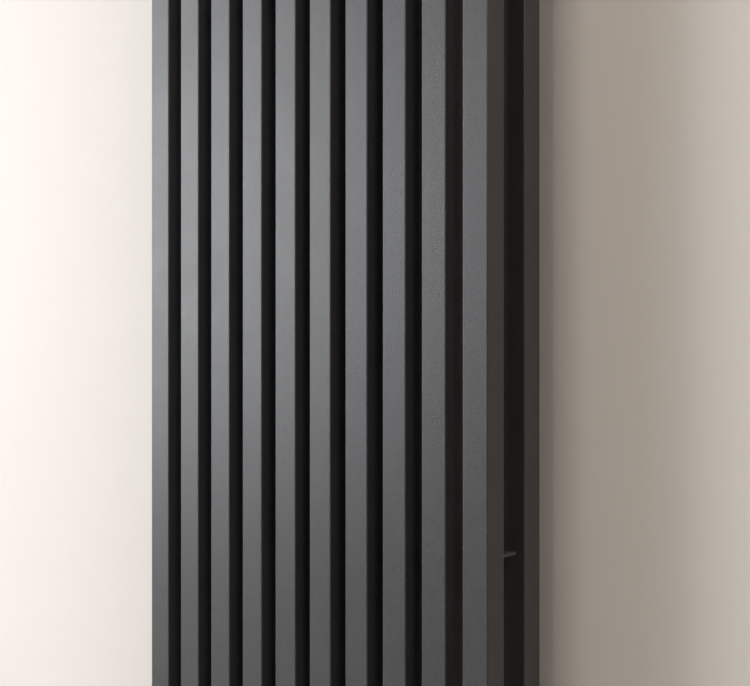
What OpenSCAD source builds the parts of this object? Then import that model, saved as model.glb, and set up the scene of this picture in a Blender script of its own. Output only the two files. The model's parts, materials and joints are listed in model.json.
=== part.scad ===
// Vertical double-row radiator of square steel bars, with its wall brackets, an angled
// thermostatic valve, an angled lockshield valve, a bleed valve and a blanking plug.
// Millimetres. The origin is the centre of the four wall fixings, on the face of the wall.
// +Z is up, +X is to the right of someone facing the radiator, and the room is towards -Y.

/* [Bars] */
// Number of bars in each row, which is even so that the brackets lie behind gaps
bars = 10; // [8:2:12]
// Width and depth of a square bar
bar_w = 30; // [28:1:32]
// Distance from one bar's centre to the next
bar_pitch = 50; // [46:1:60]
// Height of a bar with its end caps
bar_h = 1800; // [1700:50:2000]
// Wall thickness of a bar and of its end caps
bar_wall = 1.5; // [1.2:0.1:2]
// Outer corner radius of a bar
bar_r = 1.5; // [1:0.5:3]

/* [Headers] */
// Side of the square headers, which fill the space between the rows
header_w = 38; // [36:1:42]
// Wall thickness of a header
header_wall = 2; // [1.5:0.5:3]
// Distance from a bar's end to the header's centre
header_inset = 40; // [34:1:60]
// Distance from a header's end to the outer face of the last bar
header_end_gap = 5; // [2:1:8]
// Radius of the water port between a bar and a header
port_r = 6; // [4:0.5:8]
// Distance from a tapping's centre to the end of its header
tapping_inset = 20; // [18:0.5:30]

/* [Wall fixing] */
// Clear distance from the wall to the rear bars
wall_gap = 30; // [30:1:32]
// Distance between the brackets along X, counted in bar pitches
fixing_span = 6; // [4:2:6]
// Distance between the brackets along Z
fixing_z = 1500; // [1400:50:1500]
// Radius of the wall screw's hole
fixing_hole_r = 3.25; // [2.75:0.25:3.5]

/* [Tie bars] */
// Depth of a tie bar, behind the front bars
tie_depth = 25; // [15:1:30]
// Thickness of a tie bar
tie_h = 3; // [2:0.5:5]
// Distance of each tie bar from mid height
tie_z = 300; // [200:10:400]

/* [Valves] */
// Bore of the compression socket for a 15 mm pipe
socket_r = 7.6; // [7.55:0.01:7.65]
// Radius of the thermostatic head's grip
grip_r = 24; // [23:0.5:26]
// Gap between the thermostatic washer and its seat, at setting 3
thermo_gap = 1.8; // [1.2:0.1:1.8]
// Gap between the lockshield washer and its seat as balanced
lock_gap = 1.9; // [1.2:0.1:1.9]

/* [Hidden] */
$fn = 48;
slip = 0.05;                                    // radial clearance of a sliding or running fit
inner_r = 0.5;                                  // inner corner radius of the bars and the headers
rear_row_y = -wall_gap - bar_w / 2;
header_y = -wall_gap - bar_w - header_w / 2;
front_row_y = header_y - header_w / 2 - bar_w / 2;
outer_face_x = (bars - 1) * bar_pitch / 2 + bar_w / 2;
header_len = 2 * (outer_face_x - header_end_gap);
header_z = bar_h / 2 - header_inset;
fixing_x = fixing_span * bar_pitch;
tapping_pitch = header_len - 2 * tapping_inset;

// Tappings: half-inch pipe thread, drawn as plain cylinders
thread_r = 10;
boss_r = 13.5;
boss_top_h = 10;
boss_bottom_h = 26;
boss_top_z = header_z + header_w / 2 + boss_top_h;
boss_bottom_z = -header_z - header_w / 2 - boss_bottom_h;
seal_t = 1.5;

// Valve bodies. Their own frame has +Z to the room, along the head, and +Y up, to the radiator.
outlet_len = 22;
tail_neck = 12;
valve_z = boss_bottom_z - tail_neck - outlet_len;
inlet_end = -30;
inlet_r = 11.5;
socket_floor = -15;
seat_z = -2.5;
seat_r = 5;
chamber_r = 9.5;
core_r = 13.5;
outlet_r = 13.2;
neck_end = 23;
collar_thread_r = 14.9;
insert_r = chamber_r - 0.1;
insert_start = 6;
insert_hex = 19;
washer_r = 7;
washer_t = 2.5;
plunger_z = seat_z + thermo_gap + slip;
lock_z = seat_z + lock_gap + slip;
spring_floor = 9;
pin_collar_z = 17.4;

// Thermostatic head, along the same axis
pin_r = 2.5;
pin_tip = 36;
base_r = 13;
base_bore_r = 11.2;
skirt_z = 31.2;
skirt_h = 3.8;
grip_z = skirt_z + skirt_h + 0.3;
grip_ledge = grip_z + 4.5;
grip_end = 88;
nut_bore_r = 16.1;
sensor_end = 66;
nut_floor = 74;

// Lockshield valve's cap
cap_r = 16;

// Wall brackets, with +Z of their own frame from the wall to the room
cup_floor = 3;
cup_end = 20;
spindle_r = 8;
saddle_t = 4;
saddle_len = 44;
bolt_r = 4;
bolt_head_r = 6.5;
bolt_head_h = 8;
clamp_front = wall_gap + bar_w + saddle_t;

function bar_x(i) = (i - (bars + 1) / 2) * bar_pitch;
function two_digits(i) = i < 10 ? str("0", i) : str(i);
function front_name(i) = str("front_bar_", two_digits(i));
function rear_name(i) = str("rear_bar_", two_digits(i));

// Finishes
module anthracite() color([0.20, 0.20, 0.21]) children();
module brass() color([0.78, 0.62, 0.33]) children();
module zinc() color([0.72, 0.73, 0.75]) children();
module rubber() color([0.05, 0.05, 0.05]) children();
module plastic() color([0.16, 0.16, 0.17]) children();

// ---------- shared shapes ----------

// A square with round corners, as true arcs
module round_square(w, d, r) {
    square([w - 2 * r, d], center = true);
    square([w, d - 2 * r], center = true);
    for (x = [-1, 1], y = [-1, 1])
        translate([x * (w / 2 - r), y * (d / 2 - r)])
            circle(r = r);
}

// A ring or a stepped ring from its half outline, given as [radius, height] points
module turned(outline) rotate_extrude() polygon(outline);

// A plain ring
module ring(r_in, r_out, from, to)
    turned([[r_in, from], [r_out, from], [r_out, to], [r_in, to]]);

// A hexagon bar by its distance across flats
module hex_bar(across, h) cylinder(r = across / 2 / cos(30), h = h, $fn = 6);

// A rod with its axis along +Z, between two heights
module rod(r, from, to) translate([0, 0, from]) cylinder(r = r, h = to - from);

// Grooves for the fingers round a cap of radius r
module flutes(r, count, from, to)
    for (i = [1:count])
        rotate([0, 0, 360 * (i + 0.5) / count]) translate([r + 1.4, 0, 0]) rod(2.2, from, to);

// Points of a coil's wire, one ring of them at each step
function coil_ring(mean_r, wire_r, a, z, sides) =
    [for (k = [0:sides - 1]) let (b = 360 * k / sides, r = mean_r + wire_r * cos(b))
        [r * cos(a), r * sin(a), z + wire_r * sin(b)]];

// A compression spring from one height to another
module coil_spring(mean_r, wire_r, from, to, turns) {
    sides = 6;
    steps = 14 * turns;
    rise = to - from - 2 * wire_r;
    points = [for (s = [0:steps])
        each coil_ring(mean_r, wire_r, 360 * turns * s / steps, from + wire_r + rise * s / steps, sides)];
    walls = [for (s = [0:steps - 1], k = [0:sides - 1]) let (n = (k + 1) % sides)
        [s * sides + k, (s + 1) * sides + k, (s + 1) * sides + n, s * sides + n]];
    ends = [[for (k = [0:sides - 1]) k], [for (k = [sides - 1:-1:0]) steps * sides + k]];
    polyhedron(points = points, faces = concat(walls, ends));
}

// ---------- radiator body ----------

// One open square tube, standing on Z, with two water ports facing +Y
module bar_tube() {
    difference() {
        translate([0, 0, -bar_h / 2 + bar_wall])
            linear_extrude(bar_h - 2 * bar_wall)
                round_square(bar_w, bar_w, bar_r);
        translate([0, 0, -bar_h / 2])
            linear_extrude(bar_h)
                round_square(bar_w - 2 * bar_wall, bar_w - 2 * bar_wall, inner_r);
        for (z = [-header_z, header_z])
            translate([0, bar_w / 2 + 1, z])
                rotate([90, 0, 0])
                    cylinder(r = port_r, h = bar_wall + 2);
    }
}

module front_bar(i) anthracite()
    translate([bar_x(i), front_row_y, 0]) bar_tube();

module rear_bar(i) anthracite()
    translate([bar_x(i), rear_row_y, 0]) rotate([0, 0, 180]) bar_tube();

// A header along X at height z, with a port for each bar and two tapping holes on the side of up
module header(z, up) anthracite() {
    inner = header_w - 2 * header_wall;
    translate([0, header_y, z]) difference() {
        rotate([0, 90, 0]) translate([0, 0, -header_len / 2 + header_wall])
            linear_extrude(header_len - 2 * header_wall) round_square(header_w, header_w, bar_r);
        rotate([0, 90, 0]) translate([0, 0, -header_len / 2])
            linear_extrude(header_len) round_square(inner, inner, inner_r);
        for (i = [1:bars])
            translate([bar_x(i), header_w / 2 + 1, 0]) rotate([90, 0, 0])
                cylinder(r = port_r, h = header_w + 2);
        for (x = [-1, 1])
            translate([x * tapping_pitch / 2, 0, 0]) rotate([up > 0 ? 0 : 180, 0, 0])
                cylinder(r = thread_r + slip, h = header_w / 2 + 1);
    }
}

// Plates welded on the ends of the bars and of the headers
module end_caps() anthracite() {
    for (i = [1:bars], y = [front_row_y, rear_row_y], z = [-bar_h / 2, bar_h / 2 - bar_wall])
        translate([bar_x(i), y, z])
            linear_extrude(bar_wall) round_square(bar_w, bar_w, bar_r);
    for (z = [-header_z, header_z], x = [-header_len / 2, header_len / 2 - header_wall])
        translate([x, header_y, z]) rotate([0, 90, 0])
            linear_extrude(header_wall) round_square(header_w, header_w, bar_r);
}

module tapping_bosses() anthracite()
    for (x = [-1, 1]) translate([x * tapping_pitch / 2, header_y, 0]) {
        translate([0, 0, boss_top_z - boss_top_h])
            ring(thread_r + slip, boss_r, 0, boss_top_h);
        translate([0, 0, boss_bottom_z])
            ring(thread_r + slip, boss_r, 0, boss_bottom_h);
    }

// Flat strips welded across the backs of the front bars
module tie_bars() anthracite()
    for (z = [-tie_z, tie_z])
        translate([0, header_y - header_w / 2 + tie_depth / 2, z])
            cube([2 * outer_face_x - 4, tie_depth, tie_h], center = true);

// ---------- bleed valve and blanking plug ----------

plug_flange_z = boss_top_z + seal_t;
bleed_seat = -10;
bleed_bore_r = 3;
bleed_hole_r = 1.2;

module at_top_tapping(side)
    translate([side * tapping_pitch / 2, header_y, 0]) children();

// Heights in the plugs are above the flange's underside
module bleed_plug() zinc()
    at_top_tapping(1) translate([0, 0, plug_flange_z]) difference() {
        union() {
            rod(thread_r, -12, 0);
            hex_bar(24, 6);
        }
        rod(bleed_bore_r, bleed_seat, 7);
        rod(3.8, 2.4, 7);
        rod(bleed_hole_r, -13, bleed_seat + 1);
        translate([0, 0, -3]) rotate([90, 0, 0]) rod(0.8, 0, 8);
    }

// A needle with a square head; its point closes the hole in the plug
module bleed_screw() brass() {
    r = bleed_bore_r - slip;
    tip_r = bleed_hole_r - 0.6;
    at_top_tapping(1) translate([0, 0, plug_flange_z]) {
        turned([[0, bleed_seat - 0.5], [tip_r, bleed_seat - 0.5], [r, bleed_seat - 0.5 + r - tip_r], [r, 0],
                [1.9, 0], [1.9, 1.4], [r, 1.4], [r, 2.5], [0, 2.5]]);
        translate([-2.5, -2.5, 2.5]) cube([5, 5, 6]);
    }
}

module bleed_seal() rubber()
    at_top_tapping(1) ring(1.9 + slip, bleed_bore_r - slip, plug_flange_z + slip, plug_flange_z + 1.4 - slip);

module blanking_plug() zinc()
    at_top_tapping(-1) translate([0, 0, plug_flange_z]) difference() {
        union() {
            rod(thread_r, -12, 0);
            rod(13, 0, 5);
        }
        translate([0, 0, -5]) hex_bar(12, 11);
    }

// Flat rings under the two top plugs, and an O-ring on each valve's stem
module seals() rubber() {
    for (side = [-1, 1])
        at_top_tapping(side) ring(thread_r + 2 * slip, 12.4, boss_top_z, plug_flange_z);
    at_valve(1) ring(pin_r + slip, 4.5, 24, 26);
    at_valve(-1) ring(4 + slip, 5.5, 22.1, 24.1);
}

// ---------- wall brackets ----------

// The four bracket places, each with +Z from the wall to the room
module at_brackets()
    for (x = [-1, 1], z = [-1, 1])
        translate([x * fixing_x / 2, 0, z * fixing_z / 2]) rotate([90, 0, 0]) children();

grub_z = 15;

module wall_cups() zinc()
    at_brackets() difference() {
        union() {
            rod(17, 0, cup_floor);
            rod(11.5, 0, cup_end);
        }
        rod(fixing_hole_r, -1, cup_floor + 1);
        rod(spindle_r + slip, cup_floor, cup_end + 1);
        translate([0, 0, grub_z]) rotate([90, 0, 0]) cylinder(r = 2.5, h = 20);
    }

// M5 set screws that hold each spindle in its cup
module cup_grub_screws() zinc()
    at_brackets() translate([0, 0, grub_z]) rotate([90, 0, 0]) difference() {
        rod(2.45, spindle_r + slip, 13);
        translate([0, 0, 10.5]) hex_bar(2.5, 3);
    }

module bracket_spindles() zinc()
    at_brackets() difference() {
        rod(spindle_r, cup_floor + 7, wall_gap - saddle_t);
        rod(bolt_r + slip, 13, wall_gap);
    }

// A plate that lies across two neighbouring bars, with a bolt hole
module bridge_plate(from, height) difference() {
    translate([0, 0, from]) linear_extrude(saddle_t) round_square(saddle_len, height, 4);
    rod(bolt_r + 0.4, from - 1, from + saddle_t + 1);
}

module rear_saddles() zinc() at_brackets() bridge_plate(wall_gap - saddle_t, 30);

module clamp_plates() zinc() at_brackets() bridge_plate(wall_gap + bar_w, 24);

// M8 socket screws from the clamp plate, between two bars, into the spindle
module clamp_bolts() zinc()
    at_brackets() difference() {
        union() {
            rod(bolt_r, 14, clamp_front);
            rod(bolt_head_r, clamp_front, clamp_front + bolt_head_h);
        }
        translate([0, 0, clamp_front + bolt_head_h - 4]) hex_bar(6, 5);
    }

// ---------- valves: what both have ----------

// side is 1 for the thermostatic valve and -1 for the lockshield valve
module at_valve(side)
    translate([side * tapping_pitch / 2, header_y, valve_z]) rotate([90, 0, 0]) children();

// Heights along the tail's axis, above the valve body's outlet
module at_tail(side)
    translate([side * tapping_pitch / 2, header_y, valve_z + outlet_len]) children();

module valve_body(collar) difference() {
    union() {
        turned([[0, inlet_end], [inlet_r - 0.6, inlet_end], [inlet_r, inlet_end + 0.6], [inlet_r, -18],
                [core_r, -14], [core_r, 12], [12, 15], [12, neck_end], [0, neck_end]]);
        translate([0, 0, -18]) hex_bar(25, 4);
        if (collar)
            rod(collar_thread_r, 16.5, neck_end);
        rotate([-90, 0, 0]) {
            rod(12, 0, 12);
            rod(outlet_r, 12, outlet_len);
        }
    }
    turned([[0, inlet_end - 1], [socket_r + 2.5, inlet_end - 1], [socket_r, -28.5], [socket_r, socket_floor],
            [seat_r, socket_floor], [seat_r, 0], [0, 0]]);
    turned([[6.5, -4], [chamber_r, -4], [chamber_r, neck_end + 1], [0, neck_end + 1], [0, seat_z],
            [6.5, seat_z]]);
    rotate([-90, 0, 0]) rod(7, 8, outlet_len + 1);
}

// Tail pieces: a flange that the union nut pulls onto the body, and a threaded end in the boss
module tail_pieces() brass()
    for (side = [-1, 1]) at_tail(side)
        turned([[7, 0], [12.4, 0], [12.4, 4], [9.4, 4], [9.4, tail_neck], [thread_r, tail_neck],
                [thread_r, tail_neck + 14], [8, tail_neck + 14], [8, 6], [7, 6]]);

module union_nuts() anthracite()
    for (side = [-1, 1]) at_tail(side) difference() {
        intersection() {
            translate([0, 0, -8]) hex_bar(30, 15);
            turned([[0, -8], [15.6, -8], [17.4, -6.4], [17.4, 5.4], [15.6, 7], [0, 7]]);
        }
        rod(outlet_r + slip, -9, 0);
        rod(12.5, -0.1, 4.05);
        rod(9.5, 4, 8);
    }

module compression_nuts() anthracite()
    for (side = [-1, 1]) at_valve(side) difference() {
        intersection() {
            translate([0, 0, -39]) hex_bar(25, 18.5);
            turned([[0, -39], [12.9, -39], [14.5, -37.6], [14.5, -20.5], [0, -20.5]]);
        }
        turned([[0, -40], [7.9, -40], [7.9, -34.9], [9.3, -33.2], [inlet_r + slip, -32], [inlet_r + slip, -20],
                [0, -20]]);
    }

// Brass rings that grip the pipe
module olives() brass()
    for (side = [-1, 1]) at_valve(side)
        turned([[socket_r + slip, -28.9], [7.85, -28.9], [9, -30.3], [9, -33], [8.1, -34.6],
                [socket_r + slip, -34.6]]);

// ---------- thermostatic valve ----------

module thermostatic_body() anthracite() at_valve(1) valve_body(true);

// The cartridge that holds the spring
module thermostatic_insert() brass()
    at_valve(1) difference() {
        union() {
            rod(insert_r, insert_start, neck_end);
            translate([0, 0, neck_end]) hex_bar(insert_hex, 4);
            rod(7.6, neck_end + 4, 29);
        }
        rod(4.6, insert_start - 1, spring_floor - 1.5);
        rod(pin_r + slip, insert_start, spring_floor + 1);
        rod(6, spring_floor, 30);
    }

// Screwed into the cartridge over the spring; it guides the pin
module insert_gland() brass()
    at_valve(1) difference() {
        union() {
            rod(5.9, 21, 29);
            translate([0, 0, 29]) hex_bar(11, 2);
        }
        rod(pin_r + slip, 20, 32);
        rod(4.6, 23.9, 26.1);
    }

module push_pin() zinc()
    at_valve(1) union() {
        rod(pin_r, 3, pin_tip);
        rod(5.6, pin_collar_z, pin_collar_z + 1.6);
    }

module plunger_washer() rubber()
    at_valve(1) rod(washer_r, plunger_z, plunger_z + washer_t);

module plunger() brass()
    at_valve(1) translate([0, 0, plunger_z + washer_t]) difference() {
        union() {
            rod(washer_r, 0, 2.5);
            rod(4, 0, 3.9);
        }
        rod(pin_r + 0.02, 3 - plunger_z - washer_t, 6);
    }

// Lifts the pin, so that the valve opens when the head lets it
module return_spring() zinc()
    at_valve(1) coil_spring(4.7, 0.5, spring_floor, pin_collar_z, 5);

module head_collar_nut() plastic()
    at_valve(1) difference() {
        turned([[collar_thread_r + slip, 17], [16.6, 17], [17.5, 18], [17.5, 29], [16.6, 30],
                [base_r + 0.2, 30], [base_r + 0.2, 26.4], [collar_thread_r + slip, 26.4]]);
        for (a = [0:15:345])
            rotate([0, 0, a]) translate([18.3, 0, 19]) cylinder(r = 1.4, h = 9);
    }

// The fixed part of the head: a flange on the valve, a tube for the sensor, and a skirt with the pointer
module head_base() plastic()
    at_valve(1) difference() {
        union() {
            rod(14.7, neck_end, 26.2);
            rod(base_r, 26, sensor_end);
            rod(grip_r - 2, skirt_z, skirt_z + skirt_h);
            translate([-1, grip_r - 4, skirt_z]) cube([2, 3, skirt_h]);
            rod(14.6, grip_ledge + 0.3, grip_ledge + 1.8);
            for (a = [0, 180])
                rotate([0, 0, a]) translate([base_r - 1, -1.5, 46]) cube([3, 3, sensor_end - 46]);
        }
        rod(base_bore_r, neck_end, sensor_end + 1);
    }

module sensor() brass()
    at_valve(1) union() {
        turned([[0, pin_tip + slip], [4, pin_tip + slip], [4, 40], [9.8, 40], [10.9, 41], [10.9, sensor_end - 1],
                [9.9, sensor_end], [0, sensor_end]]);
    }

module overtravel_spring() zinc()
    at_valve(1) coil_spring(7, 0.7, sensor_end, nut_floor, 3);

// A cup that the grip's thread drives along the head, kept from turning by the ribs of the base
module travel_nut() plastic()
    at_valve(1) difference() {
        rod(nut_bore_r - slip, 58, nut_floor + 3);
        rod(base_r + 0.3, 57, 69);
        rod(9, 68, nut_floor);
        for (a = [0, 180])
            rotate([0, 0, a]) translate([base_r - 1, -1.8, 57]) cube([5, 3.6, 12]);
    }

module head_grip() plastic()
    at_valve(1) difference() {
        turned([[0, grip_z], [grip_r - 1, grip_z], [grip_r, grip_z + 1], [grip_r, grip_end - 2.5],
                [grip_r - 2.5, grip_end], [0, grip_end]]);
        rod(base_r + slip, grip_z - 1, grip_ledge + 1);
        rod(21, grip_ledge, 56);
        rod(nut_bore_r, 55, 82);
        rod(17.6, grip_end - 1.6, grip_end + 1);
        flutes(grip_r, 24, 47, 80);
    }

module head_end_disc() zinc()
    at_valve(1) rod(17.5, grip_end - 1.6, grip_end - 0.1);

// ---------- lockshield valve ----------

module lockshield_body() anthracite() at_valve(-1) valve_body(false);

// The cartridge: a hexagonal guide for the plug, and a bearing for the spindle
module lockshield_insert() brass()
    at_valve(-1) difference() {
        union() {
            rod(insert_r, insert_start, neck_end);
            translate([0, 0, neck_end]) hex_bar(insert_hex, 4);
        }
        translate([0, 0, insert_start - 1]) hex_bar(13.2, 13);
        rod(4 + slip, 17, neck_end + 5);
        rod(5.6, 22, 24.2);
    }

// Turns in its bearing without rising; its thread moves the plug
module lockshield_spindle() brass()
    at_valve(-1) union() {
        rod(3.2, 8, 16);
        rod(6.2, 15.9, 17.9);
        rod(4, 17.9, neck_end + 4);
        translate([-2.8, -2.8, neck_end + 4]) cube([5.6, 5.6, 7]);
    }

module lockshield_washer() rubber()
    at_valve(-1) rod(washer_r, lock_z, lock_z + washer_t);

module lockshield_plug() brass()
    at_valve(-1) difference() {
        union() {
            rod(washer_r, lock_z + washer_t, 4);
            translate([0, 0, 4]) hex_bar(13, 8.5);
        }
        rod(3.2 + slip, 5, 13);
    }

module lockshield_cap() plastic()
    at_valve(-1) difference() {
        turned([[0, neck_end + 0.3], [cap_r, neck_end + 0.3], [cap_r, 52], [cap_r - 2, 54], [0, 54]]);
        rod(11.2, neck_end, 28);
        rod(cap_r - 2.6, 27.9, 51.5);
        flutes(cap_r, 16, 32, 50);
    }

// ---------- the assembly ----------

for (i = [1:bars]) {
    front_bar(i);
    rear_bar(i);
}
header(header_z, 1);  // top_header
header(-header_z, -1);  // bottom_header
end_caps();
tapping_bosses();
tie_bars();
seals();
bleed_plug();
bleed_screw();
bleed_seal();
blanking_plug();
wall_cups();
cup_grub_screws();
bracket_spindles();
rear_saddles();
clamp_plates();
clamp_bolts();
tail_pieces();
union_nuts();
compression_nuts();
olives();
thermostatic_body();
thermostatic_insert();
insert_gland();
push_pin();
plunger();
plunger_washer();
return_spring();
head_collar_nut();
head_base();
sensor();
overtravel_spring();
travel_nut();
head_grip();
head_end_disc();
lockshield_body();
lockshield_insert();
lockshield_spindle();
lockshield_plug();
lockshield_washer();
lockshield_cap();
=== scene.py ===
# Vertical square-bar radiator with its wall brackets, valves and bleed valve, laid out as an add-on.
# Metres. +Z is up, +X is to the right of someone facing the radiator, and the wall is at y = 0.
import json
import math

import bmesh
import bpy
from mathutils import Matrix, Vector

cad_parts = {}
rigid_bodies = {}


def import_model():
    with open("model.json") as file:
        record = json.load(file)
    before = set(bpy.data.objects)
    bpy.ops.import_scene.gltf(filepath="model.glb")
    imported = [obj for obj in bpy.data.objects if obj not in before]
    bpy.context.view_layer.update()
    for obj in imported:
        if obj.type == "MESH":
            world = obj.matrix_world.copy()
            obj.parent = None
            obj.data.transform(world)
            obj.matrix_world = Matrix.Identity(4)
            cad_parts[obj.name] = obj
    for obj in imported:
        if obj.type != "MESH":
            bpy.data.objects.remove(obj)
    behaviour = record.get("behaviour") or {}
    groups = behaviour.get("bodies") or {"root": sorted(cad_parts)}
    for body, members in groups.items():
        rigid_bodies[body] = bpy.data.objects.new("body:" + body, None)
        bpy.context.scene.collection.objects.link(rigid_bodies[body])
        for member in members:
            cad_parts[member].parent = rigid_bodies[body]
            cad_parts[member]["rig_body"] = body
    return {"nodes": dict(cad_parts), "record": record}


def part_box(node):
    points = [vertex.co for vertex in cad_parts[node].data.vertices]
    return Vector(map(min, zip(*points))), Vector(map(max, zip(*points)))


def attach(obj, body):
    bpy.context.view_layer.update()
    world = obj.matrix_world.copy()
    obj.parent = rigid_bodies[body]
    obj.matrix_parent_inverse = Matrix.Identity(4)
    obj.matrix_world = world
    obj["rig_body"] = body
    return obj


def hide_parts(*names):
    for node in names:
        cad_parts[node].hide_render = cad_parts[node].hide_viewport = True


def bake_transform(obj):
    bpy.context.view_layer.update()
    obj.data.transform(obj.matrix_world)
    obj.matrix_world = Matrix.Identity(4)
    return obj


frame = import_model()

bl_info = {
    "name": "Vertical Bar Radiator",
    "version": (1, 0, 0),
    "blender": (4, 5, 0),
    "location": "View3D > Sidebar > Radiator",
    "description": "Finishes a tall radiator of square bars with its brackets, valves and bleed valve",
    "category": "Add Mesh",
}

NODES = frame["nodes"]
BARS = sum(name.startswith("front_bar_") for name in NODES)
FRONT_BARS = [f"front_bar_{i + 1:02d}" for i in range(BARS)]
REAR_BARS = [f"rear_bar_{i + 1:02d}" for i in range(BARS)]


def middle(node):
    """The centre of a CAD node's box."""
    low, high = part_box(node)
    return (low + high) / 2


def size(node):
    """The lengths of a CAD node's box."""
    low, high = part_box(node)
    return high - low


BAR_WIDTH = round(size("front_bar_01").x, 5)
BAR_HEIGHT = round(size("end_caps").z, 5)
BAR_PITCH = round(middle("front_bar_02").x - middle("front_bar_01").x, 5)
HEADER_WIDTH = round(size("top_header").y, 5)
HEADER_PLATE = 0.002  # thickness of the plate that closes each end of a header
HEAD_AXIS = middle("head_grip")
POINTER_RADIUS = 0.023  # height of the pointer's rib above the axis of the head
POINTER_GAP = 0.0022  # from the edge of the grip to the middle of the pointer's mark
NUMBER_INSET = 0.0066  # from the edge of the grip to the middle of its numbers
NUMBER_STEP = math.radians(60)  # turn of the grip between two numbers
FLAT_ANGLE = 0.3  # degrees below which two faces count as one
BOSS_RADIUS = 0.0135
TIE_HALF = 0.0015  # half the thickness of a tie bar
HEADER_WELD_HALF = 0.0125  # half the length of a weld between a header and a bar
HEADER_WELD_INSET = 0.0012  # from the edge of a header to the middle of its weld
TIE_WELD_HALF = 0.006  # half the length of a weld between a tie bar and a bar
TIE_WELD_GAP = 0.0004  # from a tie bar to the middle of its weld
WELD_LIFT = 0.0002  # how far the middle of a weld stands off its seam
LIGHT_DISTANCE = 2.5


# ---------- properties ----------


def length_property(name, description, default):
    """A length in metres."""
    return bpy.props.FloatProperty(
        name=name,
        description=description,
        default=default,
        min=0.0,
        subtype="DISTANCE",
        unit="LENGTH",
        precision=5,
    )


def colour_property(name, description, default):
    """A linear colour."""
    return bpy.props.FloatVectorProperty(
        name=name, description=description, default=default, size=3, min=0.0, max=1.0, subtype="COLOR"
    )


def power_property(name, description, default):
    """The power of a light."""
    return bpy.props.FloatProperty(name=name, description=description, default=default, unit="POWER")


class RadiatorSizes(bpy.types.PropertyGroup):
    """Sizes of the detail that the finish adds."""

    corner_radius: length_property("Corner Radius", "Outer corner radius of a square bar", 0.0015)
    end_rounding: length_property("End Rounding", "Rounding of a bar's ground ends", 0.0012)
    bead_radius: length_property("Bead Radius", "Half the width of a weld bead", 0.0016)
    bead_pitch: length_property("Bead Pitch", "Distance between the ripples of a weld", 0.0011)
    plate_bevel: length_property("Plate Bevel", "Edge rounding of the plates and brackets", 0.0004)
    fitting_bevel: length_property("Fitting Bevel", "Edge rounding of nuts and valve bodies", 0.0003)
    plastic_bevel: length_property("Plastic Bevel", "Edge rounding of the moulded parts", 0.0005)
    numeral_height: length_property("Numeral Height", "Height of the numbers on the dial", 0.0072)
    mark_relief: length_property("Mark Relief", "How far the dial's marks stand proud", 0.00012)
    grain_size: length_property("Grain Size", "Size of the powder coat's grain", 0.0011)


class RadiatorColours(bpy.types.PropertyGroup):
    """Colours of the finishes."""

    coat: colour_property("Coat", "Powder coat of the radiator", (0.041, 0.0412, 0.0435))
    valve_coat: colour_property("Valve Coat", "Paint of the valves", (0.062, 0.063, 0.068))
    plastic: colour_property("Plastic", "Moulded plastic of the head and the cap", (0.05, 0.051, 0.054))
    marks: colour_property("Marks", "Printed marks on the dial", (0.78, 0.78, 0.76))
    brass: colour_property("Brass", "Turned brass", (0.66, 0.47, 0.22))
    zinc: colour_property("Zinc", "Zinc plate", (0.55, 0.56, 0.58))
    nickel: colour_property("Nickel", "Nickel plate", (0.62, 0.60, 0.57))
    spring: colour_property("Spring", "Drawn spring wire", (0.40, 0.40, 0.41))
    rubber: colour_property("Rubber", "Seals and washers", (0.022, 0.022, 0.023))
    disc: colour_property("Disc", "Spun aluminium disc on the head", (0.50, 0.50, 0.52))
    wall: colour_property("Wall", "Painted wall", (0.70, 0.661, 0.617))
    floor: colour_property("Floor", "Floor", (0.72, 0.70, 0.67))


class RadiatorStage(bpy.types.PropertyGroup):
    """The light and the room."""

    window_power: power_property("Window Power", "Power of the soft light on the left", 26.0)
    upper_power: power_property("Upper Power", "Power of the upper part of the light on the left", 17.0)
    lower_power: power_property("Lower Power", "Power of the lower part of the light on the left", 9.0)
    inner_power: power_property("Inner Power", "Power of the light between the left and the front", 13.5)
    front_power: power_property("Front Power", "Power of the high light in front", 22.0)
    right_power: power_property("Right Power", "Power of the warm light on the right", 17.0)
    rear_power: power_property("Rear Power", "Power of the light that shows the back", 40.0)
    window_colour: colour_property("Window Colour", "Colour of the light on the left", (0.94, 0.97, 1.0))
    room_colour: colour_property(
        "Room Colour", "Colour of the light in front and on the right", (1.0, 0.92, 0.85)
    )
    ambient: bpy.props.FloatProperty(
        name="Ambient", description="Strength of the light from all round", default=0.01, min=0.0
    )
    backdrop: bpy.props.FloatProperty(
        name="Backdrop",
        description="Brightness of what is seen past the wall and the floor",
        default=0.7,
        min=0.0,
    )
    floor_height: bpy.props.FloatProperty(
        name="Floor Height",
        description="Height of the floor",
        default=-1.08,
        subtype="DISTANCE",
        unit="LENGTH",
    )


# ---------- node helpers ----------


def add(tree, kind, values=None, **settings):
    """Adds a node, sets its settings, and links or sets its inputs."""
    node = tree.nodes.new(kind)
    for key, value in settings.items():
        setattr(node, key, value)
    for key, value in (values or {}).items():
        if isinstance(value, bpy.types.NodeSocket):
            tree.links.new(value, node.inputs[key])
        else:
            node.inputs[key].default_value = value
    return node


def calc(tree, operation, a, b=0.0, c=0.0):
    """The result of a Math node."""
    return add(tree, "ShaderNodeMath", {0: a, 1: b, 2: c}, operation=operation).outputs[0]


def spread(tree, value, low, high, to_low, to_high):
    """A value mapped from one range to another, and kept in it."""
    node = add(
        tree,
        "ShaderNodeMapRange",
        {"Value": value, "From Min": low, "From Max": high, "To Min": to_low, "To Max": to_high},
    )
    return node.outputs["Result"]


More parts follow.
